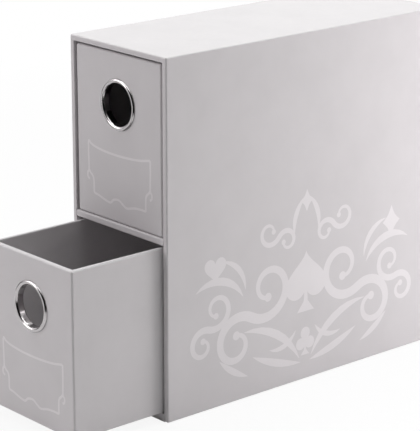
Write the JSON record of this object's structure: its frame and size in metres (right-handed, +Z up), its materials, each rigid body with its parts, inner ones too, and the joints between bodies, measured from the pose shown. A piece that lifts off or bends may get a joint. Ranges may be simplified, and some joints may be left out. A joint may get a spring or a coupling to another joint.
{
  "type": "playing card box with drawer",
  "caption": "Upright board storage box for playing cards, covered in silver paper, with stacked drawers that pull out by chrome finger rings.",
  "frame": {"origin": "on the underside of the case, under its middle, the case alone and not the open drawer", "axes": "+Z up; the drawers open towards -Y; +X is the right-hand side seen from the front"},
  "size_m": [0.088, 0.2915, 0.2202],
  "materials": {
    "silver_paper": "satin silver-grey covering paper with a faint ornament printed in a lighter silver",
    "lining_paper": "matte dark grey lining paper",
    "greyboard": "raw grey bookbinder's board",
    "chrome_ring": "bright chromed steel",
    "washer_steel": "plain zinc-plated steel"
  },
  "bodies": {
    "case": {"case_left_board": "greyboard", "case_right_board": "greyboard", "case_top_board": "greyboard", "case_base_board": "greyboard", "case_shelf_board": "greyboard", "case_back_board": "greyboard", "case_outer_wrap": "silver_paper", "case_base_paper": "silver_paper", "case_shelf_wrap": "silver_paper", "case_back_paper": "silver_paper", "upper_bay_lining": "lining_paper", "lower_bay_lining": "lining_paper"},
    "upper_drawer": {"upper_drawer_bottom_board": "greyboard", "upper_drawer_front_board": "greyboard", "upper_drawer_back_board": "greyboard", "upper_drawer_left_board": "greyboard", "upper_drawer_right_board": "greyboard", "upper_drawer_outer_wrap": "silver_paper", "upper_drawer_wall_lining": "lining_paper", "upper_drawer_floor_lining": "lining_paper", "upper_drawer_finger_ring": "chrome_ring", "upper_drawer_ring_washer": "washer_steel"},
    "lower_drawer": {"lower_drawer_bottom_board": "greyboard", "lower_drawer_front_board": "greyboard", "lower_drawer_back_board": "greyboard", "lower_drawer_left_board": "greyboard", "lower_drawer_right_board": "greyboard", "lower_drawer_outer_wrap": "silver_paper", "lower_drawer_wall_lining": "lining_paper", "lower_drawer_floor_lining": "lining_paper", "lower_drawer_finger_ring": "chrome_ring", "lower_drawer_ring_washer": "washer_steel"}
  },
  "joints": [
    {"name": "upper_drawer_slide", "type": "slide", "parent": "case", "child": "upper_drawer", "axis": [0, -1, 0], "range_m": [0, 0.2225]},
    {"name": "lower_drawer_slide", "type": "slide", "parent": "case", "child": "lower_drawer", "axis": [0, -1, 0], "range_m": [-0.0658, 0.1567]}
  ]
}
